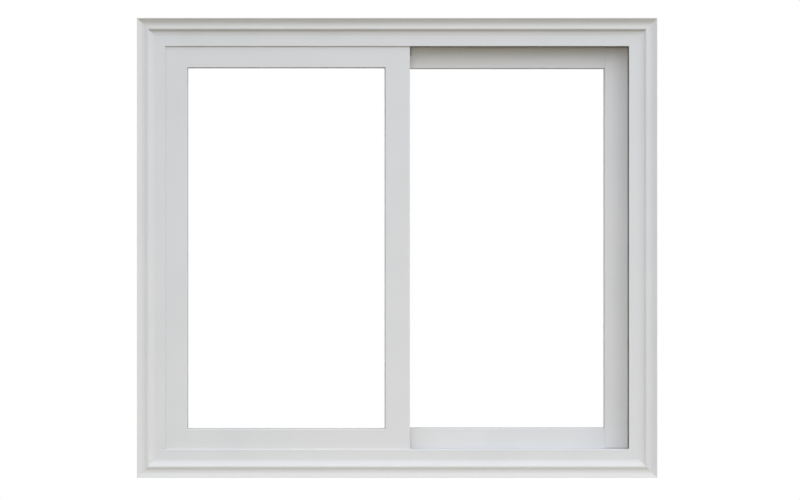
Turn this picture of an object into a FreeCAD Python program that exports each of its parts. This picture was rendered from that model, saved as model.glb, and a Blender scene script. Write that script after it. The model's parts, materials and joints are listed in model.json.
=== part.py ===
import FreeCAD, Part
import math
import os

# Two-track horizontal sliding window in white uPVC, modelled closed.
# X runs to the right as seen from outdoors, Y runs from outdoors to indoors, Z is up.
# The wall plane is y = 0, and the origin is the middle of the sill flange's back face.
# All sizes are in millimetres. A section is drawn as (across, depth): across starts at the
# outer edge of a profile and grows towards the glass, and depth is the Y coordinate.

# Overall size over the outer edges of the face flange
OVERALL_WIDTH = 1200.0
OVERALL_HEIGHT = 1060.0

# Frame profile, across its face: the flange on the wall, the hollow body and the lips past it
FLANGE_WIDTH = 24.5
BODY_WIDTH = 21.5
LIP_REACH = 18.8
FRAME_WALL = 2.5
FRAME_WEB = 2.0
FRAME_CHAMBERS = 3
LIP_THICKNESS = 3.0
DIVIDER_THICKNESS = 4.0
FACE_DEPTH = 10.0
EDGE_ROUNDING = 1.5

# Moulded rim of the frame: a sharp outer edge, a cove, a crest, and a step that eases to the face
RIM_EDGE_DEPTH = 22.0
RIM_EDGE_WIDTH = 1.0
RIM_COVE_DEPTH = 14.0
RIM_COVE_MIDDLE = 13.5
RIM_CREST_DEPTH = 18.0
RIM_CREST_FALL = 0.6
RIM_CREST_WIDTH = 3.8
RIM_CREST_OVERHANG = 0.9
RIM_STEP_DEPTH = 12.2
RIM_STEP_RUN = 5.2
RIM_EASE_RUN = 7.9
RIM_COVE_ROUNDING = 15.5
RIM_CREST_ROUNDING = 2.0
RIM_STEP_ROUNDING = 7.0
RIM_EASE_ROUNDING = 22.0

# Sash profile
SASH_DEPTH = 34.0
SASH_WIDTH = 63.5
BOTTOM_RAIL_WIDTH = 61.2
MEETING_STILE_WIDTH = 56.5
MEETING_OVERLAP = 29.5
SASH_WALL = 2.5
SASH_WEB = 2.0
GLASS_LEG = 4.0
REBATE_DEPTH = 18.0
RAISED_STILE_HEIGHT = 2.0
RAISED_STILE_MARGIN = 1.2

# Running clearances of the sashes in the frame
SASH_OUTSIDE_GAP = 1.0
SASH_TRACK_GAP = 2.0
SASH_SIDE_GAP = 6.0
INNER_SASH_SIDE_GAP = 10.0
SASH_END_GAP = 4.25

# Track, guide and rollers
TRACK_RAIL_THICKNESS = 3.0
TRACK_RAIL_HEIGHT = 9.0
TRACK_FOOT_WIDTH = 12.0
TRACK_FOOT_THICKNESS = 1.2
TRACK_END_GAP = 1.0
GROOVE_WIDTH = 12.0
GROOVE_DEPTH = 18.0
GROOVE_WALL = 2.5
ROLLER_TREAD_RADIUS = 4.8
ROLLER_FLANGE_RADIUS = 6.2
ROLLER_TREAD_WIDTH = 3.8
ROLLER_WIDTH = 7.0
ROLLER_INSET = 110.0
AXLE_RADIUS = 1.75
AXLE_GAP = 0.15
HOUSING_LENGTH = 44.0
HOUSING_PLATE = 1.5
HOUSING_DROP = 13.0
HOUSING_GAP = 0.2
ROLLER_RAIL_GAP = 0.05

# Sealed glass units and glazing
PANE_THICKNESS = 4.0
PANE_CAVITY = 10.0
GLASS_EDGE_COVER = 14.0
GASKET_THICKNESS = 2.0
GASKET_COVER = 6.0
GASKET_NOSE = 0.8
SPACER_COVER = 3.0
SPACER_WIDTH = 6.0
BEAD_GAP = 0.2
BEAD_MITRE_GAP = 0.2
BEAD_NOSE = 3.0
BEAD_SLOPE_WIDTH = 7.0
BEAD_WALL = 1.6
BLOCK_LENGTH = 60.0
BLOCK_INSET = 75.0

# Interlocking hooks between the two meeting stiles
HOOK_THICKNESS = 1.2
HOOK_STEM_OFFSET = 12.0
HOOK_REACH = 18.0
HOOK_BASE = 13.5
HOOK_CLEARANCE = 2.1

# Pile seals and the dust blocks at the two ends of the meeting stiles
SEAL_HEIGHT = 6.0
SEAL_EDGE_MARGIN = 2.0
SEAL_GAP = 0.3
DUST_BLOCK_WIDTH = 68.0
DUST_BLOCK_HEIGHT = 20.0
DUST_BLOCK_GAP = 0.3
SASH_SEAL_LIFT = 3.0

# Recessed pulls with a thumb latch, on the indoor face of the jamb stiles
PULL_LENGTH = 132.0
PULL_MARGIN = 2.75
PULL_PLATE = 1.5
PULL_EDGE = 3.0
PULL_DEPTH = 12.0
PULL_WALL = 1.5
PULL_FIT = 0.3
PULL_HEIGHT = 0.0
THUMB_LENGTH = 30.0
THUMB_WIDTH = 12.0
THUMB_INSET = 3.0
THUMB_RIBS = 5
THUMB_RIB = 1.2

# Fixing screws through the jambs into the rough opening
SCREW_RADIUS = 2.75
SCREW_SPACING = 600.0

# Places that follow from the sizes above
LEFT = -OVERALL_WIDTH / 2
RIGHT = OVERALL_WIDTH / 2
BOTTOM = -FLANGE_WIDTH / 2
TOP = BOTTOM + OVERALL_HEIGHT
MIDDLE = (BOTTOM + TOP) / 2
FACE = -FACE_DEPTH
CHANNEL_FLOOR = FLANGE_WIDTH + BODY_WIDTH
FACE_WIDTH = CHANNEL_FLOOR + LIP_REACH
CREST_END = FLANGE_WIDTH + RIM_CREST_OVERHANG
CREST_START = CREST_END - RIM_CREST_WIDTH
STEP_FOOT = CREST_END + RIM_STEP_RUN
LIP_BACK = FACE + LIP_THICKNESS
OUTER_SASH_FACE = LIP_BACK + SASH_OUTSIDE_GAP
DIVIDER_FRONT = OUTER_SASH_FACE + SASH_DEPTH + SASH_TRACK_GAP
DIVIDER_BACK = DIVIDER_FRONT + DIVIDER_THICKNESS
INNER_SASH_FACE = DIVIDER_BACK + SASH_TRACK_GAP
BACK_LIP_FRONT = INNER_SASH_FACE + SASH_DEPTH + SASH_TRACK_GAP
FRAME_BACK = BACK_LIP_FRONT + LIP_THICKNESS
SASH_BOTTOM = BOTTOM + CHANNEL_FLOOR + SASH_END_GAP
SASH_TOP = TOP - CHANNEL_FLOOR - SASH_END_GAP
PULL_WIDTH = SASH_WIDTH + SASH_SIDE_GAP - LIP_REACH - REBATE_DEPTH - 2 * PULL_MARGIN
RIB_CENTRES = [OUTER_SASH_FACE + SASH_DEPTH / 2, INNER_SASH_FACE + SASH_DEPTH / 2]
OVERCUT = 1.0

INWARD = {
    "left": FreeCAD.Vector(1, 0, 0),
    "right": FreeCAD.Vector(-1, 0, 0),
    "bottom": FreeCAD.Vector(0, 0, 1),
    "top": FreeCAD.Vector(0, 0, -1),
}


def point(x, y, z):
    return FreeCAD.Vector(x, y, z)


def box(x0, x1, y0, y1, z0, z1):
    """A block between two corners, whichever way round they are given."""
    low = point(min(x0, x1), min(y0, y1), min(z0, z1))
    return Part.makeBox(abs(x1 - x0), abs(y1 - y0), abs(z1 - z0), low)


def outline(corners):
    """A closed section. A corner is (across, depth), with a rounding radius as a third value."""
    ends, edges = [], []
    count = len(corners)
    for i, corner in enumerate(corners):
        here = point(corner[0], corner[1], 0)
        if len(corner) < 3:
            ends.append((here, None, here))
            continue
        before = corners[i - 1]
        after = corners[(i + 1) % count]
        to_before = (point(before[0], before[1], 0) - here).normalize()
        to_after = (point(after[0], after[1], 0) - here).normalize()
        half_angle = to_before.getAngle(to_after) / 2
        reach = corner[2] / math.tan(half_angle)
        middle = (to_before + to_after).normalize()
        crown = here + middle * (corner[2] / math.sin(half_angle) - corner[2])
        ends.append((here + to_before * reach, crown, here + to_after * reach))
    for i, (start, crown, end) in enumerate(ends):
        if crown is not None:
            edges.append(Part.Arc(start, crown, end).toShape())
        following = ends[(i + 1) % count][0]
        if end.distanceToPoint(following) > 1e-6:
            edges.append(Part.LineSegment(end, following).toShape())
    return Part.Wire(edges)


def section(corners, voids=()):
    """A section as a face, less its hollow chambers."""
    face = Part.Face(outline(corners))
    for void in voids:
        face = face.cut(Part.Face(outline(void)))
    return face


def chamber(across0, across1, depth0, depth1):
    """The corners of a rectangular chamber."""
    return [(across0, depth0), (across1, depth0), (across1, depth1), (across0, depth1)]


class Ring:
    """Four profiles round a rectangle, which meet at mitres from its outer to its inner corners."""

    def __init__(self, left, right, bottom, top, widths):
        self.left, self.right, self.bottom, self.top = left, right, bottom, top
        self.widths = widths

    def start(self, side):
        """The middle of one outer edge, from which its section is drawn."""
        across = (self.left + self.right) / 2
        upright = (self.bottom + self.top) / 2
        return {
            "left": point(self.left, 0, upright),
            "right": point(self.right, 0, upright),
            "bottom": point(across, 0, self.bottom),
            "top": point(across, 0, self.top),
        }[side]

    def corner(self, sideways, upright, reach):
        """A point on the mitre of one corner: 0 is the outer corner and 1 is the inner one."""
        x = getattr(self, sideways)
        z = getattr(self, upright)
        x += INWARD[sideways].x * self.widths[sideways] * reach
        z += INWARD[upright].z * self.widths[upright] * reach
        return point(x, 0, z)

    def member(self, side, face, gap=0.0):
        """One side: its section run along the edge and cut at both mitres, less a gap at each."""
        inward = INWARD[side]
        depth = point(0, 1, 0)
        along = inward.cross(depth)
        spread = max(self.right - self.left, self.top - self.bottom)
        place = FreeCAD.Matrix(
            inward.x, depth.x, along.x, 0,
            inward.y, depth.y, along.y, 0,
            inward.z, depth.z, along.z, 0,
            0, 0, 0, 1,
        )
        bar = face.translated(point(0, 0, -spread)).extrude(point(0, 0, 2 * spread))
        bar = bar.transformed(place).translated(self.start(side))
        ends = ("bottom", "top") if side in ("left", "right") else ("left", "right")
        corners = []
        for end, reaches in zip(ends, ((-0.5, 1.5), (1.5, -0.5))):
            for reach in reaches:
                names = (side, end) if side in ("left", "right") else (end, side)
                corners.append(self.corner(*names, reach) + INWARD[end] * gap)
        far_front = RIM_EDGE_DEPTH + OVERCUT
        far_back = FRAME_BACK + OVERCUT
        path = Part.makePolygon([*corners, corners[0]])
        mask = Part.Face(path).translated(point(0, -far_front, 0))
        mask = mask.extrude(point(0, far_front + far_back, 0))
        return single(bar.common(mask))


def single(shape):
    """The one solid that a cut or a union leaves."""
    shape = shape.removeSplitter()
    assert len(shape.Solids) == 1, len(shape.Solids)
    return shape.Solids[0]


def rectangular_ring(x0, x1, z0, z1, width, y0, y1):
    """A ring of one piece round a rectangle, such as a seal round a pane."""
    whole = box(x0, x1, y0, y1, z0, z1)
    hole = box(x0 + width, x1 - width, y0 - OVERCUT, y1 + OVERCUT, z0 + width, z1 - width)
    return whole.cut(hole)


def frame_section(ribbed):
    """The frame profile. The head's also has a guide rib on the floor of each channel."""
    rim = [
        (0, 0),
        (0, -RIM_EDGE_DEPTH, RIM_EDGE_WIDTH / 3),
        (RIM_EDGE_WIDTH, -RIM_EDGE_DEPTH, RIM_EDGE_WIDTH / 3),
        (RIM_COVE_MIDDLE, -RIM_COVE_DEPTH, RIM_COVE_ROUNDING),
        (CREST_START, RIM_CREST_FALL - RIM_CREST_DEPTH, RIM_CREST_ROUNDING),
        (CREST_END, -RIM_CREST_DEPTH, RIM_CREST_ROUNDING),
        (STEP_FOOT, -RIM_STEP_DEPTH, RIM_STEP_ROUNDING),
        (STEP_FOOT + RIM_EASE_RUN, FACE, RIM_EASE_ROUNDING),
        (FACE_WIDTH, FACE, EDGE_ROUNDING),
        (FACE_WIDTH, LIP_BACK),
    ]
    floor = CHANNEL_FLOOR
    channels = [(floor, LIP_BACK)]
    for centre, wall, thickness in zip(
        RIB_CENTRES, (DIVIDER_FRONT, BACK_LIP_FRONT), (DIVIDER_THICKNESS, LIP_THICKNESS)
    ):
        if ribbed:
            half = TRACK_RAIL_THICKNESS / 2
            tip = floor + TRACK_RAIL_HEIGHT
            channels += [(floor, centre - half), (tip, centre - half)]
            channels += [(tip, centre + half), (floor, centre + half)]
        channels += [(floor, wall), (FACE_WIDTH, wall), (FACE_WIDTH, wall + thickness)]
        if wall == DIVIDER_FRONT:
            channels.append((floor, DIVIDER_BACK))
    back = [(FLANGE_WIDTH, FRAME_BACK), (FLANGE_WIDTH, 0)]
    inner, outer = FLANGE_WIDTH + FRAME_WALL, CHANNEL_FLOOR - FRAME_WALL
    first, last = FACE + FRAME_WALL, FRAME_BACK - FRAME_WALL
    pitch = (last - first + FRAME_WEB) / FRAME_CHAMBERS
    voids = [
        chamber(inner, outer, first + i * pitch, first + (i + 1) * pitch - FRAME_WEB)
        for i in range(FRAME_CHAMBERS)
    ]
    voids.append(
        chamber(FRAME_WALL, FLANGE_WIDTH - FRAME_WALL, FRAME_WALL - RIM_COVE_DEPTH, -FRAME_WALL)
    )
    return section(rim + channels + back, voids)


def screw_heights():
    """The two heights of the fixing screws in each jamb."""
    return [MIDDLE - SCREW_SPACING / 2, MIDDLE + SCREW_SPACING / 2]


def frame_members():
    """The four mitred members of the outer frame, the jambs with their screw holes."""
    ring = Ring(LEFT, RIGHT, BOTTOM, TOP, dict.fromkeys(INWARD, FACE_WIDTH))
    plain = frame_section(ribbed=False)
    pieces = {
        "frame_head": ring.member("top", frame_section(ribbed=True)),
        "frame_sill": ring.member("bottom", plain),
    }
    for side in ("left", "right"):
        jamb = ring.member(side, plain)
        for height in screw_heights():
            start = point(getattr(ring, side), RIB_CENTRES[1], height)
            drill = Part.makeCylinder(SCREW_RADIUS, FACE_WIDTH, start, INWARD[side])
            jamb = jamb.cut(drill)
        pieces[f"frame_jamb_{side}"] = single(jamb)
    return pieces


def track_rail(centre):
    """An aluminium rail on the floor of a sill channel, with a flat foot."""
    floor = BOTTOM + CHANNEL_FLOOR
    reach = RIGHT - CHANNEL_FLOOR - TRACK_END_GAP
    half = TRACK_RAIL_THICKNESS / 2
    rail = box(-reach, reach, centre - half, centre + half, floor, floor + TRACK_RAIL_HEIGHT)
    foot = box(
        -reach, reach, centre - TRACK_FOOT_WIDTH / 2, centre + TRACK_FOOT_WIDTH / 2,
        floor, floor + TRACK_FOOT_THICKNESS,
    )
    rail = single(rail.fuse(foot))
    crown = [
        edge for edge in rail.Edges
        if edge.BoundBox.ZMin > floor + TRACK_RAIL_HEIGHT - 0.01 and edge.Length > reach
    ]
    return rail.makeFillet(half * 0.6, crown)


def divider_seal_bands():
    """Depths of the seal strips on the two faces of the centre divider."""
    return [
        (DIVIDER_FRONT - SASH_TRACK_GAP + SEAL_GAP, DIVIDER_FRONT),
        (DIVIDER_BACK, DIVIDER_BACK + SASH_TRACK_GAP - SEAL_GAP),
    ]


def frame_seals():
    """Pile strips along the divider, at the head and at both jambs."""
    edge = FACE_WIDTH - SEAL_EDGE_MARGIN
    inner = FACE_WIDTH + SEAL_GAP
    head, jambs = [], []
    for y0, y1 in divider_seal_bands():
        head.append(box(LEFT + inner, RIGHT - inner, y0, y1, TOP - edge, TOP - edge + SEAL_HEIGHT))
        for side in ("left", "right"):
            outer = LEFT if side == "left" else RIGHT
            x0 = outer + INWARD[side].x * edge
            x1 = x0 - INWARD[side].x * SEAL_HEIGHT
            jambs.append(box(x0, x1, y0, y1, BOTTOM + inner, TOP - inner))
    return {
        "head_seal_strips": Part.makeCompound(head),
        "jamb_seal_strips": Part.makeCompound(jambs),
    }


def dust_blocks():
    """The soft blocks that close the gap between the sashes at the head and at the sill."""
    y0 = OUTER_SASH_FACE + SASH_DEPTH + DUST_BLOCK_GAP
    y1 = INNER_SASH_FACE - DUST_BLOCK_GAP
    half = DUST_BLOCK_WIDTH / 2
    high = TOP - FACE_WIDTH
    low = BOTTOM + FACE_WIDTH
    return {
        "top_dust_block": box(-half, half, y0, y1, high - DUST_BLOCK_HEIGHT, high),
        "bottom_dust_block": box(-half, half, y0, y1, low, low + DUST_BLOCK_HEIGHT),
    }


def sash_section(width, face, grooved):
    """A sash profile. The rails' outer edge has a groove that rides over the rail or the rib."""
    back = face + SASH_DEPTH
    floor = width - REBATE_DEPTH
    centre = face + SASH_DEPTH / 2
    corners = [(0, face, EDGE_ROUNDING), (width, face, EDGE_ROUNDING)]
    corners += [(width, face + GLASS_LEG), (floor, face + GLASS_LEG), (floor, back)]
    corners += [(0, back, EDGE_ROUNDING)]
    low, high = face + SASH_WALL, back - SASH_WALL
    start = SASH_WALL
    voids = []
    if grooved:
        g0, g1 = centre - GROOVE_WIDTH / 2, centre + GROOVE_WIDTH / 2
        corners += [(0, g1), (GROOVE_DEPTH, g1), (GROOVE_DEPTH, g0), (0, g0)]
        start = GROOVE_DEPTH + GROOVE_WALL
        for y0, y1 in ((low, g0 - GROOVE_WALL), (g1 + GROOVE_WALL, high)):
            voids.append(chamber(SASH_WALL, start - SASH_WEB, y0, y1))
    end = floor - SASH_WALL
    web = centre - SASH_WEB / 2
    voids.append(chamber(start, end, low, web))
    voids.append(chamber(start, end, web + SASH_WEB, high))
    return section(corners, voids)


class Sash:
    """One sliding sash: its place, its profiles and all that it carries."""

    def __init__(self, name, jamb, face, side_gap):
        self.name, self.jamb, self.face = name, jamb, face
        self.free = "right" if jamb == "left" else "left"
        self.back = face + SASH_DEPTH
        outward = -INWARD[jamb].x
        self.jamb_x = outward * (RIGHT - CHANNEL_FLOOR - side_gap)
        self.free_x = -outward * MEETING_OVERLAP
        self.outward = outward
        widths = dict.fromkeys(INWARD, SASH_WIDTH)
        widths[self.free] = MEETING_STILE_WIDTH
        widths["bottom"] = BOTTOM_RAIL_WIDTH
        left, right = sorted((self.jamb_x, self.free_x))
        self.ring = Ring(left, right, SASH_BOTTOM, SASH_TOP, widths)

    def sight(self, cover):
        """The glass opening, grown on every side by a cover: x0, x1, z0, z1."""
        widths = self.ring.widths
        return (
            self.ring.left + widths["left"] - cover,
            self.ring.right - widths["right"] + cover,
            self.ring.bottom + widths["bottom"] - cover,
            self.ring.top - widths["top"] + cover,
        )

    def groove(self, upright):
        """The groove along the sash's top or bottom edge, as a cutter that clears the stiles."""
        centre = self.face + SASH_DEPTH / 2
        edge = getattr(self.ring, upright)
        inner = edge + INWARD[upright].z * GROOVE_DEPTH
        return box(
            self.ring.left - OVERCUT, self.ring.right + OVERCUT,
            centre - GROOVE_WIDTH / 2, centre + GROOVE_WIDTH / 2,
            edge - INWARD[upright].z * OVERCUT, inner,
        )

    def raised_face(self):
        """The inner sash's jamb stile stands a little proud, inside the lips of the frame."""
        x0, x1, z0, z1 = self.sight(0)
        sight = x0 if self.jamb == "left" else x1
        edge = self.outward * (RIGHT - FACE_WIDTH - RAISED_STILE_MARGIN)
        low = BOTTOM + FACE_WIDTH + RAISED_STILE_MARGIN
        high = TOP - FACE_WIDTH - RAISED_STILE_MARGIN
        inset = EDGE_ROUNDING
        y0 = self.face - RAISED_STILE_HEIGHT
        pad = box(sight + self.outward * inset, edge, y0, self.face + SASH_WALL / 2, low, high)
        rim = [edge for edge in pad.Edges if edge.BoundBox.YMax < y0 + 0.01]
        return pad.makeFillet(RAISED_STILE_HEIGHT / 3, rim)

    def profiles(self):
        """The four mitred profiles, with the grooves cleared through both stiles."""
        pieces = {}
        for upright in ("top", "bottom"):
            rail = sash_section(self.ring.widths[upright], self.face, grooved=True)
            pieces[f"{self.name}_{upright}_rail"] = self.ring.member(upright, rail)
        stiles = {
            "jamb_stile": (self.jamb, SASH_WIDTH),
            "meeting_stile": (self.free, MEETING_STILE_WIDTH),
        }
        for label, (side, width) in stiles.items():
            stile = self.ring.member(side, sash_section(width, self.face, grooved=False))
            for upright in ("bottom", "top"):
                stile = stile.cut(self.groove(upright))
            if label == "jamb_stile":
                stile = stile.fuse(self.pocket_walls()).cut(self.pull_cutter())
            pieces[f"{self.name}_{label}"] = single(stile)
        return pieces

    def glazing(self):
        """The sealed unit, its gasket outdoors, its blocks below and its beads indoors."""
        outside = self.face + GLASS_LEG + GASKET_THICKNESS
        cavity = outside + PANE_THICKNESS
        inside = cavity + PANE_CAVITY
        x0, x1, z0, z1 = self.sight(GLASS_EDGE_COVER)
        pieces = {
            f"{self.name}_outside_pane": box(x0, x1, outside, cavity, z0, z1),
            f"{self.name}_inside_pane": box(x0, x1, inside, inside + PANE_THICKNESS, z0, z1),
        }
        sealant = GLASS_EDGE_COVER - SPACER_COVER - SPACER_WIDTH
        pieces[f"{self.name}_edge_sealant"] = rectangular_ring(
            x0, x1, z0, z1, sealant, cavity, inside
        )
        pieces[f"{self.name}_spacer_bar"] = rectangular_ring(
            *self.sight(GLASS_EDGE_COVER - sealant), SPACER_WIDTH, cavity, inside
        )
        pieces[f"{self.name}_glazing_gasket"] = rectangular_ring(
            *self.sight(GASKET_COVER), GASKET_COVER + GASKET_NOSE,
            outside - GASKET_THICKNESS, outside,
        )
        floor = self.sight(REBATE_DEPTH)[2]
        blocks = []
        for x, inward in ((x0, 1), (x1, -1)):
            start = x + inward * BLOCK_INSET
            end = start + inward * BLOCK_LENGTH
            blocks.append(box(start, end, outside, inside + PANE_THICKNESS, floor, z0))
        pieces[f"{self.name}_setting_blocks"] = Part.makeCompound(blocks)
        return pieces

    def beads(self):
        """Four hollow glazing beads, mitred at the corners, that hold the unit from indoors."""
        glass = self.face + GLASS_LEG + GASKET_THICKNESS + 2 * PANE_THICKNESS + PANE_CAVITY
        width = REBATE_DEPTH - BEAD_GAP
        left, right, bottom, top = self.sight(width)
        ring = Ring(left, right, bottom, top, dict.fromkeys(INWARD, width))
        slope = width - BEAD_SLOPE_WIDTH
        corners = [(0, glass), (width, glass, BEAD_WALL / 4), (width, glass + BEAD_NOSE, BEAD_WALL / 2)]
        corners += [(slope, self.back, BEAD_WALL), (0, self.back)]
        hollow = [
            (BEAD_WALL, glass + BEAD_WALL),
            (width - 2 * BEAD_WALL, glass + BEAD_WALL),
            (slope - BEAD_WALL / 2, self.back - BEAD_WALL),
            (BEAD_WALL, self.back - BEAD_WALL),
        ]
        face = section(corners, [hollow])
        return Part.makeCompound([ring.member(side, face, BEAD_MITRE_GAP) for side in INWARD])

    def interlock(self):
        """The hook that engages the other sash when both are closed."""
        outer = self.jamb == "left"
        base = self.back if outer else self.face
        away = 1 if outer else -1
        gap = INNER_SASH_FACE - (OUTER_SASH_FACE + SASH_DEPTH)
        lift = gap - HOOK_CLEARANCE
        tip = base + away * lift
        stem = -self.outward * HOOK_STEM_OFFSET
        beyond = -self.outward
        foot = box(stem, stem + beyond * HOOK_BASE, base, base + away * HOOK_THICKNESS, *self.hook_run())
        upright = box(stem, stem + beyond * HOOK_THICKNESS, base, tip, *self.hook_run())
        arm = box(
            stem + beyond * HOOK_THICKNESS, stem - beyond * HOOK_REACH,
            tip - away * HOOK_THICKNESS, tip, *self.hook_run(),
        )
        return single(foot.fuse([upright, arm]))

    def hook_run(self):
        """The hook's two ends, clear of the dust blocks."""
        margin = FACE_WIDTH + DUST_BLOCK_HEIGHT + DUST_BLOCK_GAP
        return BOTTOM + margin, TOP - margin

    def roller_places(self):
        """Where the two rollers run: x of each, and the height of their axles."""
        axle = BOTTOM + CHANNEL_FLOOR + TRACK_RAIL_HEIGHT + ROLLER_TREAD_RADIUS + ROLLER_RAIL_GAP
        places = (self.ring.left + ROLLER_INSET, self.ring.right - ROLLER_INSET)
        return places, axle

    def rollers(self):
        """Grooved wheels that ride astride the track rail, in steel housings under the rail."""
        places, axle = self.roller_places()
        centre = self.face + SASH_DEPTH / 2
        ceiling = self.ring.bottom + GROOVE_DEPTH
        half = GROOVE_WIDTH / 2 - HOUSING_GAP
        wheels, housings = [], []
        for x in places:
            start = point(x, centre - ROLLER_WIDTH / 2, axle)
            wheel = Part.makeCylinder(ROLLER_FLANGE_RADIUS, ROLLER_WIDTH, start, point(0, 1, 0))
            tread = Part.makeCylinder(
                ROLLER_FLANGE_RADIUS + OVERCUT, ROLLER_TREAD_WIDTH,
                point(x, centre - ROLLER_TREAD_WIDTH / 2, axle), point(0, 1, 0),
            )
            core = Part.makeCylinder(
                ROLLER_TREAD_RADIUS, ROLLER_TREAD_WIDTH,
                point(x, centre - ROLLER_TREAD_WIDTH / 2, axle), point(0, 1, 0),
            )
            bore = Part.makeCylinder(AXLE_RADIUS + AXLE_GAP, ROLLER_WIDTH, start, point(0, 1, 0))
            wheels.append(single(wheel.cut(tread.cut(core)).cut(bore)))
            x0, x1 = x - HOUSING_LENGTH / 2, x + HOUSING_LENGTH / 2
            shell = box(x0, x1, centre - half, centre + half, ceiling - HOUSING_DROP, ceiling)
            inner = half - HOUSING_PLATE
            hollow = box(
                x0 - OVERCUT, x1 + OVERCUT, centre - inner, centre + inner,
                ceiling - HOUSING_DROP - OVERCUT, ceiling - HOUSING_PLATE,
            )
            window = box(
                x - ROLLER_FLANGE_RADIUS - OVERCUT, x + ROLLER_FLANGE_RADIUS + OVERCUT,
                centre - inner, centre + inner, ceiling - HOUSING_DROP, ceiling + OVERCUT,
            )
            pin = Part.makeCylinder(
                AXLE_RADIUS, 2 * half, point(x, centre - half, axle), point(0, 1, 0)
            )
            housings.append(single(shell.cut(hollow).cut(window).fuse(pin)))
        return {
            f"{self.name}_rollers": Part.makeCompound(wheels),
            f"{self.name}_roller_housings": Part.makeCompound(housings),
        }

    def pull_place(self):
        """The pull's middle: x between the bead and the frame's lip, and its height."""
        edge = self.outward * (RIGHT - FACE_WIDTH)
        x0, x1 = self.sight(REBATE_DEPTH)[:2]
        inner = x0 if self.jamb == "left" else x1
        return (edge + inner) / 2, MIDDLE + PULL_HEIGHT

    def cup(self, grow, y0, y1):
        """The outside of the pull's cup, grown by a fit."""
        x, z = self.pull_place()
        wide = PULL_WIDTH / 2 - PULL_EDGE + grow
        tall = PULL_LENGTH / 2 - PULL_EDGE + grow
        body = box(x - wide, x + wide, y0, y1, z - tall, z + tall)
        upright = [edge for edge in body.Edges if edge.BoundBox.YLength > 0.01]
        return body.makeFillet(PULL_EDGE + grow, upright)

    def pocket_walls(self):
        """Two cross walls in the stile's indoor chamber, which close the pocket round the pull."""
        height = self.pull_place()[1]
        outer = self.jamb_x - self.outward * SASH_WALL / 2
        inner = self.jamb_x - self.outward * (SASH_WIDTH - REBATE_DEPTH - SASH_WALL / 2)
        y0, y1 = self.face + SASH_DEPTH / 2, self.back - SASH_WALL / 2
        reach = PULL_LENGTH / 2 - PULL_EDGE + PULL_FIT
        walls = []
        for way in (-1, 1):
            start = height + way * reach
            walls.append(box(outer, inner, y0, y1, start, start + way * SASH_WALL))
        return walls

    def pull_cutter(self):
        """The hole for the cup in the stile's indoor wall."""
        return self.cup(PULL_FIT, self.back - PULL_DEPTH - PULL_FIT, self.back + OVERCUT)

    def pull(self):
        """A plate with a finger recess, let into the stile, and its sliding thumb."""
        x, z = self.pull_place()
        front = self.back + PULL_PLATE
        plate = box(
            x - PULL_WIDTH / 2, x + PULL_WIDTH / 2, self.back, front,
            z - PULL_LENGTH / 2, z + PULL_LENGTH / 2,
        )
        upright = [edge for edge in plate.Edges if edge.BoundBox.YLength > 0.01]
        plate = plate.makeFillet(2 * PULL_EDGE, upright)
        body = plate.fuse(self.cup(0.0, self.back - PULL_DEPTH, self.back))
        body = body.cut(self.cup(-PULL_WALL, self.back - PULL_DEPTH + PULL_WALL, front + OVERCUT))
        floor = self.back - PULL_DEPTH + PULL_WALL
        top = z + PULL_LENGTH / 2 - PULL_EDGE - PULL_WALL - THUMB_INSET
        thumb = box(
            x - THUMB_WIDTH / 2, x + THUMB_WIDTH / 2, floor, self.back, top - THUMB_LENGTH, top
        )
        upright = [edge for edge in thumb.Edges if edge.BoundBox.YLength > 0.01]
        thumb = thumb.makeFillet(THUMB_RIB, upright)
        pitch = (THUMB_LENGTH - 2 * THUMB_INSET) / (2 * THUMB_RIBS)
        for i in range(THUMB_RIBS):
            z0 = top - THUMB_INSET - (2 * i + 1) * pitch
            thumb = thumb.cut(
                box(
                    x - THUMB_WIDTH, x + THUMB_WIDTH, self.back - THUMB_RIB / 2,
                    self.back + OVERCUT, z0 - pitch / 2, z0 + pitch / 2,
                )
            )
        return {f"{self.name}_pull": single(body), f"{self.name}_latch_thumb": single(thumb)}

    def bottom_seal(self):
        """A pile strip on the bottom rail that brushes the centre divider."""
        outer = self.jamb == "left"
        base = self.back if outer else self.face
        away = 1 if outer else -1
        low = self.ring.bottom + SASH_SEAL_LIFT
        left, right = self.ring.left + SASH_WIDTH, self.ring.right - SASH_WIDTH
        return box(left, right, base, base + away * (SASH_TRACK_GAP - SEAL_GAP), low, low + SEAL_HEIGHT)

    def pieces(self):
        """Every piece of the sash under the name of its node."""
        found = {**self.profiles(), **self.glazing(), **self.rollers(), **self.pull()}
        found[f"{self.name}_glazing_beads"] = self.beads()
        found[f"{self.name}_interlock"] = self.interlock()
        found[f"{self.name}_bottom_seal"] = self.bottom_seal()
        return found


def window():
    """Every piece of the window under the name of its node."""
    pieces = frame_members()
    pieces["outer_track_rail"] = track_rail(RIB_CENTRES[0])
    pieces["inner_track_rail"] = track_rail(RIB_CENTRES[1])
    pieces.update(frame_seals())
    pieces.update(dust_blocks())
    pieces.update(Sash("outer_sash", "left", OUTER_SASH_FACE, SASH_SIDE_GAP).pieces())
    inner = Sash("inner_sash", "right", INNER_SASH_FACE, INNER_SASH_SIDE_GAP)
    pieces.update(inner.pieces())
    name = "inner_sash_jamb_stile"
    pieces[name] = single(pieces[name].fuse(inner.raised_face()))
    return pieces


os.makedirs("parts", exist_ok=True)
for node, shape in window().items():
    shape.exportStep(f"parts/{node}.step")
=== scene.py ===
"""Looks of a two-track sliding window in white uPVC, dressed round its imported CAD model.

Lengths are in metres in the CAD's own frame: X runs to the right as seen from outdoors, Y from
outdoors to indoors and Z up. The wall plane is y = 0.
"""

import json
import logging
import math
import random
from dataclasses import dataclass, field
from enum import Enum
from typing import Any, Iterable, Sequence

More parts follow.
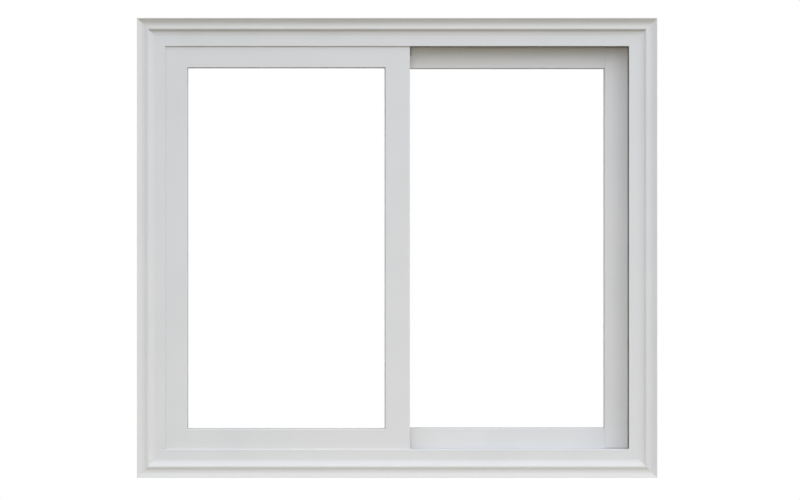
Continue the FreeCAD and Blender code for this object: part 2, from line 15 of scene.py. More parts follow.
import bmesh
import bpy
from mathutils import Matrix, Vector


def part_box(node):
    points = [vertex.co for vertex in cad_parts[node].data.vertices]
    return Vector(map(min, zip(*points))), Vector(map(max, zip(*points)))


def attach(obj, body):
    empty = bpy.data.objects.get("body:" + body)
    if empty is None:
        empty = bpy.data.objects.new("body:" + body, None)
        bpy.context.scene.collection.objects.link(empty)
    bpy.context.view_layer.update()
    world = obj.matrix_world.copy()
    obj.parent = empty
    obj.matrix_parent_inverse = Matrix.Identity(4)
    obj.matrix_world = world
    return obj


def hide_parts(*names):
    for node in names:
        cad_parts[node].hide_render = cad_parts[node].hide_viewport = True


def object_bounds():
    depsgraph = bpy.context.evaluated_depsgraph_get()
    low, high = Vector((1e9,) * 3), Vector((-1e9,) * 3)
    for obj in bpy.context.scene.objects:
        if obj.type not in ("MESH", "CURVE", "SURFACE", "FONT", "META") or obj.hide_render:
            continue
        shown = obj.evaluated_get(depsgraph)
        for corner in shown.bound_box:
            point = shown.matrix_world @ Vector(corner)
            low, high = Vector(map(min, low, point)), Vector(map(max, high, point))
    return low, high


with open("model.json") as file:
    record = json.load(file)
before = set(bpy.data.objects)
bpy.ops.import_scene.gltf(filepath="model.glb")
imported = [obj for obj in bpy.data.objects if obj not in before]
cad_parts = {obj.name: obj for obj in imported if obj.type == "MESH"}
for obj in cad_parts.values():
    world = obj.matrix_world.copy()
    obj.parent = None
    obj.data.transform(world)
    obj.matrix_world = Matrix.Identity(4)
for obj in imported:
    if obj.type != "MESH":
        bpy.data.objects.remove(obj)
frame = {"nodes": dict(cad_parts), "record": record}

logging.basicConfig(level=logging.INFO, format="%(name)s: %(message)s")
log = logging.getLogger("window")

MM = 0.001
CAD_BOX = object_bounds()
CAD_MIDDLE = (CAD_BOX[0] + CAD_BOX[1]) / 2
JOIN_WITHIN = 0.001 * MM
SORT_DIGITS = 5
LIP_STEPS = 6

Point = Sequence[float]
Pair = tuple[float, float]
# The two ends of the range that a value comes in, then of the one that it is stretched to.
Ramp = tuple[float, float, float, float]
Shape = tuple[list[Point], list[list[int]]]
Tree = bpy.types.NodeTree
Node = bpy.types.Node
Socket = bpy.types.NodeSocket
Material = bpy.types.Material


class Run(Enum):
    """The way a profile leaves its die, along which its marks lie."""

    ACROSS = "X"
    UPRIGHT = "Z"


class Side(Enum):
    """Where something on a ring lies, with the way from that side to the middle."""

    LEFT = (1, 0)
    RIGHT = (-1, 0)
    BOTTOM = (0, 1)
    TOP = (0, -1)


def linear(code: str) -> tuple[float, float, float, float]:
    """Turns an sRGB colour to the linear one that a shader takes.

    Args:
        code: Six hex digits after a #.

    Returns:
        Linear red, green, blue and an alpha of 1.
    """
    parts = [int(code[i:i + 2], 16) / 255 for i in (1, 3, 5)]
    red, green, blue = (c / 12.92 if c <= 0.04045 else ((c + 0.055) / 1.055) ** 2.4 for c in parts)
    return red, green, blue, 1.0


def add_node(
    tree: Tree, kind: str, inputs: dict[str | int, Any] | Sequence[Any] = (), **settings: Any
) -> Node:
    """Adds a node with its settings, its numbers and its links.

    Args:
        tree: The node tree of a material or of the world.
        kind: The node's type without the word ShaderNode.
        inputs: What the input sockets take, by name or place, or as a row from the first one on:
            a number, a colour, or another node's output socket, which is linked.
        settings: Properties of the node itself.

    Returns:
        The new node.
    """
    made = tree.nodes.new("ShaderNode" + kind)
    for name, value in settings.items():
        setattr(made, name, value)
    for name, value in inputs.items() if isinstance(inputs, dict) else enumerate(inputs):
        if isinstance(value, Socket):
            tree.links.new(value, made.inputs[name])
        else:
            made.inputs[name].default_value = value
    return made


def pattern_scale(size: float) -> float:
    """The Scale of a texture whose features are to be this many metres across."""
    return 1.0 / size


@dataclass(frozen=True)
class Finish:
    """What every finish has: a name, a colour, and how it reflects."""

    name: str
    colour: str
    roughness: float
    ior: float = 1.5
    metallic: float = 0.0
    smoother: float = 0.0
    duller: float = 0.0
    gloss_span: Pair = (0.3, 0.7)
    clear_where: tuple[str, str] | None = None

    def build(self) -> Material:
        """Makes the material.

        Returns:
            The material, with its nodes linked.
        """
        material = bpy.data.materials.new(self.name)
        material.use_nodes = True
        material.diffuse_color = linear(self.colour)
        tree = material.node_tree
        tree.nodes.clear()
        place = add_node(tree, "TexCoord").outputs["Object"]
        base = {"Base Color": linear(self.colour), "Roughness": self.roughness}
        base |= {"Metallic": self.metallic, "IOR": self.ior}
        shader = add_node(tree, "BsdfPrincipled", base)
        self.detail(tree, place, shader)
        add_node(tree, "OutputMaterial", {"Surface": self.surface(tree, shader)})
        return material

    def detail(self, tree: Tree, place: Socket, shader: Node) -> None:
        """Adds what makes this finish more than its colour.

        Args:
            tree: The material's node tree.
            place: The point on the surface, in metres in the CAD's frame.
            shader: The Principled shader to feed.
        """

    def surface(self, tree: Tree, shader: Node) -> Socket:
        """What the material's output takes: the shader, made clear where the finish says so.

        Args:
            tree: The material's node tree.
            shader: The finished shader.

        Returns:
            The socket to show.
        """
        if self.clear_where is None:
            return shader.outputs["BSDF"]
        kind, output = self.clear_where
        mask = add_node(tree, kind).outputs[output]
        clear = add_node(tree, "BsdfTransparent").outputs[0]
        return add_node(tree, "MixShader", (mask, shader.outputs["BSDF"], clear)).outputs[0]

    def coats(self, tree: Tree, shader: Node, layers: Iterable[tuple[Socket, str]]) -> None:
        """Lays other colours over the finish's own.

        Args:
            tree: The material's node tree.
            shader: The shader whose colour is set.
            layers: For each coat, a mask that is 1 where it covers, and its colour as sRGB hex.
        """
        body: Any = linear(self.colour)
        for mask, colour in layers:
            feed = {0: mask, 6: body, 7: linear(colour)}
            body = add_node(tree, "Mix", feed, data_type="RGBA").outputs[2]
        tree.links.new(body, shader.inputs["Base Color"])

    def vary_gloss(self, tree: Tree, shader: Node, pattern: Socket) -> None:
        """Makes the surface smoother where a pattern is low and duller where it is high.

        Args:
            tree: The material's node tree.
            shader: The shader whose roughness is set.
            pattern: The pattern, from 0 to 1.
        """
        ends = (self.roughness - self.smoother, self.roughness + self.duller)
        rough = add_node(tree, "MapRange", (pattern, *self.gloss_span, *ends)).outputs[0]
        tree.links.new(rough, shader.inputs["Roughness"])

    def relief(self, tree: Tree, shader: Node, layers: Iterable[tuple[Socket, float]]) -> None:
        """Stacks fine relief on the surface.

        Args:
            tree: The material's node tree.
            shader: The shader whose normal is bent.
            layers: Heights from 0 to 1, each with its real depth in metres.
        """
        normal = None
        for height, depth in layers:
            feed: dict[str | int, Any] = {"Height": height, "Distance": depth, "Strength": 1.0}
            if normal is not None:
                feed["Normal"] = normal
            normal = add_node(tree, "Bump", feed).outputs["Normal"]
        tree.links.new(normal, shader.inputs["Normal"])


@dataclass(frozen=True)
class DrawnFinish(Finish):
    """A finish whose fine marks lie along X or Z, the way that the profile was drawn."""

    run: Run = Run.ACROSS
    draw: float = 0.004

    def drawn(self, tree: Tree, place: Socket) -> Socket:
        """The point on the surface, squeezed along the run so that a pattern on it is drawn out."""
        along = (self.draw, 1.0, 1.0) if self.run is Run.ACROSS else (1.0, 1.0, self.draw)
        return add_node(tree, "Mapping", {"Vector": place, "Scale": along}).outputs[0]


@dataclass(frozen=True)
class ExtrudedVinyl(DrawnFinish):
    """Satin white uPVC as it leaves the die, with faint marks along the profile."""

    smoother: float = 0.05
    duller: float = 0.07
    hazed: str = "#D5D7D9"
    dusty: str = "#C9C6BE"
    # The warm grey of the painted shade on the rim.
    rim_shade_colour: str = "#CFCECA"
    cloudy: Ramp = (0.35, 0.7, 0.0, 0.5)
    streaky: Ramp = (0.3, 0.75, 0.0, 0.35)
    level: Ramp = (0.8, 1.0, 0.0, 0.3)
    # How strongly painted shade darkens the rim, and the depths over which it comes in.
    rim_shade: float = 0.0
    rim_shade_start: float = -11.0 * MM
    rim_shade_full: float = -14.5 * MM
    die_mark: float = 1.6 * MM
    die_depth: float = 0.012 * MM
    peel: float = 0.9 * MM
    peel_depth: float = 0.004 * MM
    haze: float = 140 * MM

    def detail(self, tree: Tree, place: Socket, shader: Node) -> None:
        """Adds the die's marks, the skin's peel, a haze, dust on ledges and painted shade on the
        rim.

        Args:
            tree: The material's node tree.
            place: The point on the surface.
            shader: The Principled shader to feed.
        """
        # Real die marks are 0.1 to 0.3 mm apart; they are drawn coarser so that they show.
        feed = {"Vector": self.drawn(tree, place), "Scale": pattern_scale(self.die_mark)}
        marks = add_node(tree, "TexNoise", {**feed, "Detail": 3.0, "Roughness": 0.6}).outputs[0]
        feed = {"Vector": place, "Scale": pattern_scale(self.peel), "Detail": 1.0}
        peel = add_node(tree, "TexNoise", feed).outputs[0]
        feed = {"Vector": place, "Scale": pattern_scale(self.haze), "Detail": 4.0}
        haze = add_node(tree, "TexNoise", feed).outputs[0]
        cloud = add_node(tree, "MapRange", (haze, *self.cloudy)).outputs[0]
        streak = add_node(tree, "MapRange", (marks, *self.streaky)).outputs[0]
        both = add_node(tree, "Math", (cloud, streak), operation="MAXIMUM").outputs[0]
        normal = add_node(tree, "NewGeometry").outputs["Normal"]
        upward = add_node(tree, "SeparateXYZ", (normal,)).outputs["Z"]
        ledge = add_node(tree, "MapRange", (upward, *self.level)).outputs[0]
        settled = add_node(tree, "Math", (ledge, haze), operation="MULTIPLY").outputs[0]
        # Painted shade: the rim, which stands proud of the frame's flat face, is darkened to a warm
        # grey for the shade in its coves.
        depth = add_node(tree, "SeparateXYZ", (place,)).outputs["Y"]
        proud = (self.rim_shade_start, self.rim_shade_full, 0.0, self.rim_shade)
        rim_shade_mask = add_node(tree, "MapRange", (depth, *proud)).outputs[0]
        layers = [(both, self.hazed), (settled, self.dusty), (rim_shade_mask, self.rim_shade_colour)]
        self.coats(tree, shader, layers)
        self.vary_gloss(tree, shader, haze)
        self.relief(tree, shader, [(marks, self.die_depth), (peel, self.peel_depth)])


@dataclass(frozen=True)
class MouldedPlastic(Finish):
    """An injection-moulded plastic with the fine spark grain of its tool."""

    smoother: float = 0.04
    duller: float = 0.06
    worn: str = "#CFD1D3"
    wear: Ramp = (0.35, 0.75, 0.0, 0.6)
    grain: float = 0.5 * MM
    grain_depth: float = 0.02 * MM
    flow: float = 18 * MM
    flow_detail: float = 2.0
    swirl: float = 0.8

    def detail(self, tree: Tree, place: Socket, shader: Node) -> None:
        """Adds the tool's grain and the faint flow of the melt.

        Args:
            tree: The material's node tree.
            place: The point on the surface.
            shader: The Principled shader to feed.
        """
        feed = {"Vector": place, "Scale": pattern_scale(self.grain), "Detail": 2.0}
        grain = add_node(tree, "TexNoise", feed).outputs[0]
        feed = {"Vector": place, "Scale": pattern_scale(self.flow), "Detail": self.flow_detail}
        flow = add_node(tree, "TexNoise", {**feed, "Distortion": self.swirl}).outputs[0]
        mask = add_node(tree, "MapRange", (flow, *self.wear)).outputs[0]
        self.coats(tree, shader, [(mask, self.worn)])
        self.vary_gloss(tree, shader, flow)
        self.relief(tree, shader, [(grain, self.grain_depth)])


@dataclass(frozen=True)
class SoftRubber(MouldedPlastic):
    """Matt soft vinyl or rubber, whose grain is a fine skin and whose wear is a slight bloom."""

    smoother: float = 0.0
    duller: float = 0.0
    worn: str = "#26282A"
    wear: Ramp = (0.4, 0.75, 0.0, 0.7)
    grain: float = 0.35 * MM
    grain_depth: float = 0.03 * MM
    flow: float = 22 * MM
    flow_detail: float = 3.0
    swirl: float = 0.0


@dataclass(frozen=True)
class FloatGlass(Finish):
    """Clear float glass: flat, colourless face on, with the slow wave of the tin bath."""

    # Lamp light goes straight through, so that a pane casts no dark shadow.
    clear_where: tuple[str, str] | None = ("LightPath", "Is Shadow Ray")
    wave: float = 160 * MM
    wave_depth: float = 0.03 * MM

    def detail(self, tree: Tree, place: Socket, shader: Node) -> None:
        """Lets light through and adds the slow wave that bends reflections.

        Args:
            tree: The material's node tree.
            place: The point on the surface.
            shader: The Principled shader to feed.
        """
        shader.inputs["Transmission Weight"].default_value = 1.0
        feed = {"Vector": place, "Scale": pattern_scale(self.wave), "Detail": 0.0}
        wave = add_node(tree, "TexNoise", feed).outputs[0]
        self.relief(tree, shader, [(wave, self.wave_depth)])


@dataclass(frozen=True)
class DrawnMetal(DrawnFinish):
    """A drawn or rolled metal, whose scratches lie the way it ran."""

    smoother: float = 0.08
    duller: float = 0.12
    draw: float = 0.006
    dull: str = "#9FA2A4"
    wear: Ramp = (0.35, 0.7, 0.0, 0.8)
    scratch: float = 0.8 * MM
    scratch_depth: float = 0.01 * MM

    def scratches(self, tree: Tree, place: Socket) -> Socket:
        """Fine lines along the run, as a height from 0 to 1."""
        feed = {"Vector": self.drawn(tree, place), "Scale": pattern_scale(self.scratch)}
        return add_node(tree, "TexNoise", {**feed, "Detail": 4.0, "Roughness": 0.7}).outputs[0]

    def detail(self, tree: Tree, place: Socket, shader: Node) -> None:
        """Adds the scratches and the dull oxide between them.

        Args:
            tree: The material's node tree.
            place: The point on the surface.
            shader: The Principled shader to feed.
        """
        lines = self.scratches(tree, place)
        mask = add_node(tree, "MapRange", (lines, *self.wear)).outputs[0]
        self.coats(tree, shader, [(mask, self.dull)])
        self.vary_gloss(tree, shader, lines)
        self.relief(tree, shader, [(lines, self.scratch_depth)])


@dataclass(frozen=True)
class PerforatedSpacer(DrawnMetal):
    """Roll-formed spacer bar with a row of small holes over its drying beads."""

    centre_depth: float = 0.0
    pitch: float = 5 * MM
    hole: float = 0.55 * MM
    hole_floor: float = 0.8
    hole_depth: float = 0.3 * MM
    # Painted shade: the holes aren't cut, so this near-black stands for the dark inside each.
    hole_shade_colour: str = "#17181A"

    def detail(self, tree: Tree, place: Socket, shader: Node) -> None:
        """Adds the scratches, and the row of holes along the middle of the bar, painted near-black
        as the shade inside them.

        Args:
            tree: The material's node tree.
            place: The point on the surface.
            shader: The Principled shader to feed.
        """
        lines = self.scratches(tree, place)
        axes = add_node(tree, "SeparateXYZ", (place,)).outputs
        along = (axes[self.run.value], self.pitch / 2)
        beat = add_node(tree, "Math", along, operation="PINGPONG").outputs[0]
        across = (axes["Y"], self.centre_depth)
        off = add_node(tree, "Math", across, operation="SUBTRACT").outputs[0]
        pair = add_node(tree, "CombineXYZ", (beat, off)).outputs[0]
        far = add_node(tree, "VectorMath", (pair,), operation="LENGTH").outputs["Value"]
        edge = (far, self.hole * self.hole_floor, self.hole)
        metal = add_node(tree, "MapRange", (*edge, 0.0, 1.0)).outputs[0]
        hole = add_node(tree, "MapRange", (*edge, 1.0, 0.0)).outputs[0]
        mask = add_node(tree, "MapRange", (lines, *self.wear)).outputs[0]
        # Each hole is painted near-black as shade, and pressed in as a bump.
        self.coats(tree, shader, [(mask, self.dull), (hole, self.hole_shade_colour)])
        self.relief(tree, shader, [(lines, self.scratch_depth), (metal, self.hole_depth)])


@dataclass(frozen=True)
class ZincPlate(Finish):
    """Bright zinc plate over pressed steel, with its faint crystals and a blue cast."""

    smoother: float = 0.08
    duller: float = 0.1
    gloss_span: Pair = (0.0, 1.0)
    bloom: str = "#8D949C"
    wear: Ramp = (0.0, 1.0, 0.0, 0.7)
    crystal: float = 2.5 * MM

    def detail(self, tree: Tree, place: Socket, shader: Node) -> None:
        """Adds the crystals and the pale bloom that grows on zinc.

        Args:
            tree: The material's node tree.
            place: The point on the surface.
            shader: The Principled shader to feed.
        """
        feed = {"Vector": place, "Scale": pattern_scale(self.crystal)}
        cells = add_node(tree, "TexVoronoi", feed).outputs["Color"]
        value = add_node(tree, "SeparateColor", (cells,)).outputs[0]
        mask = add_node(tree, "MapRange", (value, *self.wear)).outputs[0]
        self.coats(tree, shader, [(mask, self.bloom)])
        self.vary_gloss(tree, shader, value)


@dataclass(frozen=True)
class BrushPile(Finish):
    """Polypropylene pile, fine upright fibres whose tips catch a little light."""

    tip: str = "#47484A"
    lit: Ramp = (0.35, 0.7, 0.0, 1.0)
    fibre: float = 0.4 * MM
    sheen: float = 0.3
    sheen_roughness: float = 0.5

    def detail(self, tree: Tree, place: Socket, shader: Node) -> None:
        """Adds light and dark fibres and their sheen.

        Args:
            tree: The material's node tree.
            place: The point on the surface.
            shader: The Principled shader to feed.
        """
        shader.inputs["Sheen Weight"].default_value = self.sheen
        shader.inputs["Sheen Roughness"].default_value = self.sheen_roughness
        feed = {"Vector": place, "Scale": pattern_scale(self.fibre), "Detail": 1.0}
        fibres = add_node(tree, "TexNoise", feed).outputs[0]
        mask = add_node(tree, "MapRange", (fibres, *self.lit)).outputs[0]
        self.coats(tree, shader, [(mask, self.tip)])


@dataclass(frozen=True)
class PaperFloor(Finish):
    """A roll of matt studio paper with its faint tooth."""

    # The sheet's underside is clear, so that a view from below looks past it.
    clear_where: tuple[str, str] | None = ("NewGeometry", "Backfacing")
    bounced: str = "#56502D"
    tooth: float = 2.0 * MM
    tooth_depth: float = 0.05 * MM

    def detail(self, tree: Tree, place: Socket, shader: Node) -> None:
        """Adds the paper's tooth, and has it throw up only the dim warm light of paved ground.

        Args:
            tree: The material's node tree.
            place: The point on the surface.
            shader: The Principled shader to feed.
        """
        bounce = add_node(tree, "LightPath").outputs["Is Diffuse Ray"]
        self.coats(tree, shader, [(bounce, self.bounced)])
        feed = {"Vector": place, "Scale": pattern_scale(self.tooth), "Detail": 2.0}
        tooth = add_node(tree, "TexNoise", feed).outputs[0]
        self.relief(tree, shader, [(tooth, self.tooth_depth)])


def middle_of(node: str) -> Vector:
    """The middle of a CAD node's box."""
    low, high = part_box(node)
    return (low + high) / 2


@dataclass
class Finishes:
    """Every finish of the window, built once."""

    vinyl_colour: str = "#DEDFE1"
    made: dict[str, Material] = field(default_factory=dict)

    def build(self) -> None:
        """Builds the materials under short names."""
        vinyl = (self.vinyl_colour, 0.38, 1.53)
        kinds = {
            # uPVC from the die reads as a soft satin white, with hairlines along each profile.
            # Painted shade darkens the rim strongly on the head and sill and faintly on the jambs.
            "vinyl_across": ExtrudedVinyl("satin_upvc_across", *vinyl, rim_shade=0.65),
            "vinyl_upright": ExtrudedVinyl(
                "satin_upvc_upright", *vinyl, run=Run.UPRIGHT, rim_shade=0.15
            ),
            # Moulded ASA is a shade glossier than the profiles, with an even fine grain.
            "moulded": MouldedPlastic("moulded_white_asa", "#DCDEE0", 0.32, 1.52),
            # Float glass is clear face on, and shows as a bend in what it reflects.
            "glass": FloatGlass("clear_float_glass", "#FFFFFF", 0.0, 1.5),
            # Mill-finish aluminium is bright and streaky along the rail.
            "track": DrawnMetal("mill_finish_aluminium", "#D2D4D5", 0.34, metallic=1.0),
            # Cured polysulphide is a dull black band behind the spacer.
            "sealant": SoftRubber("cured_polysulphide", "#17181A", 0.6, 1.6),
            # Co-extruded soft PVC is a matt light grey line round each pane.
            "gasket": SoftRubber("coextruded_soft_pvc", "#B4B7B9", 0.55, 1.53, worn="#A6A9AB"),
            # Cut pile is a dull dark grey felt with lighter tips.
            "pile": BrushPile("cut_polypropylene_pile", "#2A2A2B", 0.9, 1.49),
            # The dust blocks' denser pile is a pale grey felt, lost against the white profiles.
            "dust_pile": BrushPile("pale_polypropylene_pile", "#B4B6B7", 0.9, 1.49, tip="#C8CACB"),
            # Moulded polypropylene packers are a plain blue with a soft grain.
            "packer": MouldedPlastic(
                "moulded_polypropylene", "#3C5F8F", 0.45, 1.49,
                worn="#4A6E9C", grain_depth=0.03 * MM,
            ),
            # Acetal rollers are a waxy ivory.
            "roller": MouldedPlastic("moulded_acetal", "#DCD9CC", 0.3, 1.48, worn="#C9C5B6"),
            # Zinc plate is a cool grey with a soft sparkle.
            "housing": ZincPlate("zinc_plated_steel", "#C3C8CD", 0.36, metallic=1.0),
            # The floor is a plain pale sheet that takes a soft shadow.
            "floor": PaperFloor("matt_studio_paper", "#E4E4E4", 0.95, 1.45),
        }
        for name in ("outer", "inner"):
            depth = middle_of(f"{name}_sash_spacer_bar").y
            for run in Run:
                # Roll-formed aluminium glints between the panes, with a dotted line of holes.
                kinds[f"spacer_{name}_{run.value}"] = PerforatedSpacer(
                    f"roll_formed_spacer_{name}_{run.value.lower()}", "#C6C8CA", 0.3,
                    metallic=1.0, run=run, centre_depth=depth,
                )
        self.made = {name: kind.build() for name, kind in kinds.items()}

    def __getitem__(self, name: str) -> Material:
        """The material under a short name."""
        return self.made[name]


def shown_mesh(
    name: str, points: Sequence[Point], faces: Sequence[Sequence[int]], material: Material
) -> bpy.types.Object:
    """Makes a mesh, gives it its finish and links it to the scene.

    Args:
        name: The piece's name.
        points: Its vertices, in metres in the CAD's frame.
        faces: Its faces, as places in the list of points.
        material: Its finish.

    Returns:
        The new object.
    """
    mesh = bpy.data.meshes.new(name)
    mesh.from_pydata([tuple(p) for p in points], [], [tuple(f) for f in faces])
    bm = bmesh.new()
    bm.from_mesh(mesh)
    bmesh.ops.recalc_face_normals(bm, faces=bm.faces)
    bm.to_mesh(mesh)
    bm.free()
    mesh.materials.append(material)
    piece = bpy.data.objects.new(name, mesh)
    bpy.context.scene.collection.objects.link(piece)
    return piece


def joined(parts: Iterable[Shape]) -> Shape:
    """Puts several parts into one.

    Args:
        parts: The points and faces of each.

    Returns:
        All the points and all the faces.
    """
    points: list[Point] = []
    faces: list[list[int]] = []
    for more, added in parts:
        faces += [[i + len(points) for i in face] for face in added]
        points += more
    return points, faces


def sleeve(sections: int, corners: int, closed: bool = True) -> list[list[int]]:
    """The faces that join sections set one after the other.

    Args:
        sections: How many sections there are.
        corners: How many points each has, all round.
        closed: Whether the last section joins the first.

    Returns:
        The faces, as places in a list that holds the sections' points in order.
    """
    faces = []
    for i in range(sections if closed else sections - 1):
        here, following = i * corners, (i + 1) % sections * corners
        for k in range(corners):
            m = (k + 1) % corners
            faces.append([here + k, following + k, following + m, here + m])
    return faces


def place_piece(piece: bpy.types.Object, slot: str, *stands_for: str) -> None:
    """Fixes a piece to the window and hides the nodes that it stands for.

    Args:
        piece: The finished piece.
        slot: The record's material slot; not used.
        stands_for: CAD nodes that are hidden behind it.
    """
    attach(piece, "root")
    if stands_for:
        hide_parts(*stands_for)
    log.info("%s: %d faces", piece.name, len(piece.data.polygons))


def inside_cad(point: Vector) -> Vector:
    """The point, held inside the CAD model's box."""
    low, high = CAD_BOX
    return Vector(min(max(p, a), b) for p, a, b in zip(point, low, high))


def node_mesh(node: str) -> bmesh.types.BMesh:
    """Copies a CAD node's mesh and joins its doubled points.

    Args:
        node: The CAD node's name.

    Returns:
        The copy, which the caller frees.
    """
    bm = bmesh.new()
    bm.from_mesh(frame["nodes"][node].data)
    bmesh.ops.remove_doubles(bm, verts=bm.verts, dist=JOIN_WITHIN)
    bm.edges.index_update()
    return bm


def islands(node: str) -> list[tuple[Vector, Vector]]:
    """The boxes of a node's separate solids.

    Args:
        node: The CAD node's name.

    Returns:
        The lowest and highest corner of each solid, from left to right and bottom to top.
    """
    bm = node_mesh(node)
    left, boxes = set(bm.verts), []
    while left:
        found, edge = set(), [left.pop()]
        while edge:
            vertex = edge.pop()
            found.add(vertex)
            for link in vertex.link_edges:
                other = link.other_vert(vertex)
                if other in left:
                    left.discard(other)
                    edge.append(other)
        low = Vector(min(v.co[i] for v in found) for i in range(3))
        high = Vector(max(v.co[i] for v in found) for i in range(3))
        boxes.append((low, high))
    bm.free()
    return sorted(boxes, key=lambda box: tuple(round(c, SORT_DIGITS) for c in (*box[0], *box[1])))


@dataclass
class Dressing:
    """Gives every CAD node its finish."""

    finishes: Finishes

    def whole(self, node: str, finish: str) -> None:
        """Gives one finish to all of a node.

        Args:
            node: The CAD node's name.
            finish: The finish's short name.
        """
        data = frame["nodes"][node].data
        data.materials.clear()
        data.materials.append(self.finishes[finish])
        log.info("%s: %s", node, data.materials[0].name)

    def ring(self, node: str, across: str, upright: str) -> None:
        """Gives a ring's level sides one finish and its upright sides the other.

        Args:
            node: The CAD node's name.
            across: The finish of its top and bottom.
            upright: The finish of its left and right.
        """
        self.whole(node, across)
        data = frame["nodes"][node].data
        data.materials.append(self.finishes[upright])
        low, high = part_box(node)
        for face in data.polygons:
            centre = face.center
            to_side = min(centre.x - low.x, high.x - centre.x)
            to_end = min(centre.z - low.z, high.z - centre.z)
            face.material_index = int(to_side < to_end)

    def frame_nodes(self) -> None:
        """Dresses the outer frame and its tracks."""
        plain = {
            "vinyl_across": ("frame_head", "frame_sill"),
            "vinyl_upright": ("frame_jamb_left", "frame_jamb_right"),
            "track": ("outer_track_rail", "inner_track_rail"),
            "pile": ("head_seal_strips", "jamb_seal_strips"),
            "dust_pile": ("top_dust_block", "bottom_dust_block"),
        }
        for finish, nodes in plain.items():
            for node in nodes:
                self.whole(node, finish)

    def sash_nodes(self, sash: str) -> None:
        """Dresses one sash.

        Args:
            sash: The prefix of its nodes.
        """
        plain = {
            "vinyl_across": ("top_rail", "bottom_rail"),
            "vinyl_upright": ("jamb_stile", "meeting_stile", "interlock"),
            "glass": ("outside_pane", "inside_pane"),
            "sealant": ("edge_sealant",),
            "gasket": ("glazing_gasket",),
            "packer": ("setting_blocks",),
            "roller": ("rollers",),
            "housing": ("roller_housings",),
            "moulded": ("pull", "latch_thumb"),
            "pile": ("bottom_seal",),
        }
        for finish, labels in plain.items():
            for label in labels:
                self.whole(f"{sash}_{label}", finish)
        self.ring(f"{sash}_glazing_beads", "vinyl_across", "vinyl_upright")
        cavity = sash.split("_")[0]
        self.ring(f"{sash}_spacer_bar", f"spacer_{cavity}_X", f"spacer_{cavity}_Z")


@dataclass
class WeldSeams:
    """The cleaned weld at each mitre: a low ridge right round the joined profiles."""

    finishes: Finishes
    height: float = 0.12 * MM
    reach: float = 0.9 * MM
    root: float = 0.25 * MM
    bury: float = 0.02 * MM
    slant: float = 0.2
    flat_within: float = 0.01 * MM
    sharpest: float = 0.5

    def mitre_loops(self, node: str) -> list[list[Vector]]:
        """Finds the outlines of a member's two mitred ends.

        Args:
            node: The CAD node of a level member.

        Returns:
            The corners of each end's outline, in order.
        """
        bm = node_mesh(node)
        loops = []
        for side in (-1, 1):
            slanted = [f for f in bm.faces if min(side * f.normal.x, abs(f.normal.z)) > self.slant]
            largest = max(slanted, key=lambda face: face.calc_area())
            spot, way = largest.calc_center_median(), largest.normal
            # A sliver has no sure normal, so a face counts as the mitre's by where its corners lie.
            chosen = {
                face
                for face in bm.faces
                if all(abs((v.co - spot).dot(way)) < self.flat_within for v in face.verts)
            }
            edges = {edge for face in chosen for edge in face.edges}
            rim = {edge for edge in edges if sum(face in chosen for face in edge.link_faces) == 1}
            loops.append(max(self.walk(rim), key=self.girth))
        bm.free()
        return loops

    def walk(self, rim: set[bmesh.types.BMEdge]) -> list[list[Vector]]:
        """Puts the border edges of a face in order.

        Args:
            rim: The border's edges.

        Returns:
            The closed loops that they make.
        """
        loops = []
        while rim:
            first = min(rim, key=lambda edge: edge.index)
            rim.discard(first)
            start, here = first.verts
            loop = [start.co.copy()]
            while here is not start:
                loop.append(here.co.copy())
                step = next((e for e in here.link_edges if e in rim), None)
                if step is None:
                    break
                rim.discard(step)
                here = step.other_vert(here)
            loops.append(loop)
        return loops

    def girth(self, loop: list[Vector]) -> float:
        """How long a loop is all round, so that the outline is told from its chambers."""
        return sum((a - b).length for a, b in zip(loop, loop[1:] + loop[:1]))

    def outward(self, loop: list[Vector], axis: int) -> list[Vector]:
        """The way out of the profile at each corner of its outline.

        Args:
            loop: The outline's corners.
            axis: The axis that the member runs along, 0 or 2, which its sides don't face.

        Returns:
            A vector for each corner, longer where the corner is sharp.
        """
        other = 2 - axis
        following = loop[1:] + loop[:1]
        area = sum(a[other] * b.y - b[other] * a.y for a, b in zip(loop, following))
        turn = 1.0 if area > 0 else -1.0
        sides = []
        for a, b in zip(loop, following):
            step = b - a
            side = Vector((0.0, -step[other] * turn, 0.0))
            side[other] = step.y * turn
            sides.append(side.normalized())
        ways = []
        for i, side in enumerate(sides):
            way = (sides[i - 1] + side).normalized()
            ways.append(way / max(self.sharpest, way.dot(side)))
        return ways

    def bead(self, middle: Vector, loop: list[Vector]) -> Shape:
        """One ridge along a mitre's outline.

        Args:
            middle: A point inside the level member, to tell which way it runs.
            loop: The outline's corners.

        Returns:
            The ridge's points and faces.
        """
        centre = sum(loop, Vector()) / len(loop)
        into_level = Vector((math.copysign(1.0, middle.x - centre.x), 0, 0))
        into_upright = Vector((0, 0, math.copysign(1.0, CAD_MIDDLE.z - centre.z)))
        points = []
        for here, a, b in zip(loop, self.outward(loop, 0), self.outward(loop, 2)):
            out = (a + b) / 2
            section = (
                here + into_level * self.reach - a * self.bury,
                here + out * self.height,
                here + into_upright * self.reach - b * self.bury,
                here - out * self.root,
            )
            points += [inside_cad(point) for point in section]
        return points, sleeve(len(loop), len(points) // len(loop))

    def build(self, name: str, members: Sequence[str]) -> None:
        """Makes the seams of one welded ring.

        Args:
            name: The piece's name.
            members: The ring's level CAD nodes, whose ends are its four mitres.
        """
        ridges = joined(
            self.bead(middle_of(member), loop)
            for member in members
            for loop in self.mitre_loops(member)
        )
        place_piece(shown_mesh(name, *ridges, self.finishes["vinyl_across"]), "upvc")


